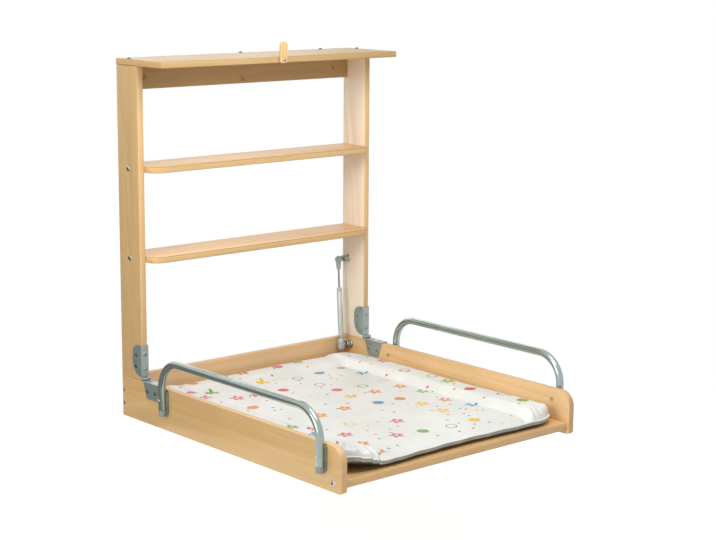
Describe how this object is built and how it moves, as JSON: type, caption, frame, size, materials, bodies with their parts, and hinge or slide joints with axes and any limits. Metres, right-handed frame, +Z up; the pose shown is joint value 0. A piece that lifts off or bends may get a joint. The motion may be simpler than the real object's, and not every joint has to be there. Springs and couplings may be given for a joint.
{
  "type": "fold-down changing table",
  "caption": "Wall-hung wooden changing table: an open shelf frame with a hinged tray that folds up, bent guard rails, a gas strut, a turn-button latch and a padded mat.",
  "frame": {"origin": "middle of the hanging rail's back face, on the wall", "axes": "+Y into the wall, +Z up, +X to the right of someone who faces it"},
  "size_m": [0.8296, 0.885, 0.9756],
  "materials": {
    "beech": "satin lacquer",
    "hinge_grey": "satin",
    "rail_grey": "satin",
    "nickel": "satin",
    "dark_plastic": "matte",
    "strut_grey": "satin",
    "rod_chrome": "polished",
    "vinyl": "smooth coated"
  },
  "bodies": {
    "wall_frame": {"hanging_rail": "beech", "top_board": "beech", "upper_shelf": "beech", "lower_shelf": "beech", "left_upright": "beech", "right_upright": "beech", "upper_shelf_left_dowel": "beech", "lower_shelf_left_dowel": "beech", "hanging_rail_left_dowel": "beech", "upper_shelf_right_dowel": "beech", "lower_shelf_right_dowel": "beech", "hanging_rail_right_dowel": "beech", "top_screw_left": "nickel", "top_screw_middle": "nickel", "top_screw_rail": "nickel", "top_screw_right": "nickel", "upper_shelf_left_screw": "nickel", "lower_shelf_left_screw": "nickel", "upper_shelf_right_screw": "nickel", "lower_shelf_right_screw": "nickel", "button_screw": "nickel", "button_spacer": "dark_plastic", "left_hinge_upper_leaf": "hinge_grey", "right_hinge_upper_leaf": "hinge_grey", "left_hinge_pin": "hinge_grey", "right_hinge_pin": "hinge_grey", "strut_upper_stud": "hinge_grey"},
    "tray": {"floor_panel": "beech", "rear_board": "beech", "left_side_board": "beech", "right_side_board": "beech", "left_hinge_lower_leaf": "hinge_grey", "right_hinge_lower_leaf": "hinge_grey", "strut_lower_stud": "hinge_grey", "left_guard_rail": "rail_grey", "right_guard_rail": "rail_grey", "left_rail_rear_pad": "dark_plastic", "left_rail_front_pad": "dark_plastic", "right_rail_rear_pad": "dark_plastic", "right_rail_front_pad": "dark_plastic", "left_rail_rear_bolt": "nickel", "left_rail_front_bolt": "nickel", "right_rail_rear_bolt": "nickel", "right_rail_front_bolt": "nickel", "left_rail_rear_plug": "rail_grey", "left_rail_front_plug": "rail_grey", "right_rail_rear_plug": "rail_grey", "right_rail_front_plug": "rail_grey", "rear_upper_left_screw": "nickel", "rear_lower_left_screw": "nickel", "rear_upper_right_screw": "nickel", "rear_lower_right_screw": "nickel", "floor_left_screw": "nickel", "floor_right_screw": "nickel", "changing_mat": "vinyl"},
    "turn_button": {"turn_button": "beech"},
    "strut_rod": {"strut_rod": "rod_chrome", "strut_upper_socket": "strut_grey"},
    "strut_cylinder": {"strut_cylinder": "strut_grey", "strut_lower_socket": "strut_grey"}
  },
  "joints": [
    {"name": "tray_fold", "type": "hinge", "parent": "wall_frame", "child": "tray", "pos_m": [0, -0.0973, -0.7722], "axis": [-1, 0, 0], "range_deg": [0, 90]},
    {"name": "button_turn", "type": "hinge", "parent": "wall_frame", "child": "turn_button", "pos_m": [-0.012, -0.2009, 0.0408], "axis": [0, -1, 0], "range_deg": [-180, 180]},
    {"name": "strut_swing", "type": "hinge", "parent": "wall_frame", "child": "strut_rod", "pos_m": [0.337, -0.022, -0.5515], "axis": [-1, 0, 0], "range_deg": [0, 17.2]},
    {"name": "strut_stroke", "type": "slide", "parent": "strut_rod", "child": "strut_cylinder", "axis": [0, -0.0559, -0.9984], "range_m": [0, 0.0505]}
  ],
  "couplings": [
    {"joint": "strut_swing", "follows": "tray_fold", "ratio": 0.19051},
    {"joint": "strut_stroke", "follows": "tray_fold", "m_per_rad": 0.032075}
  ]
}
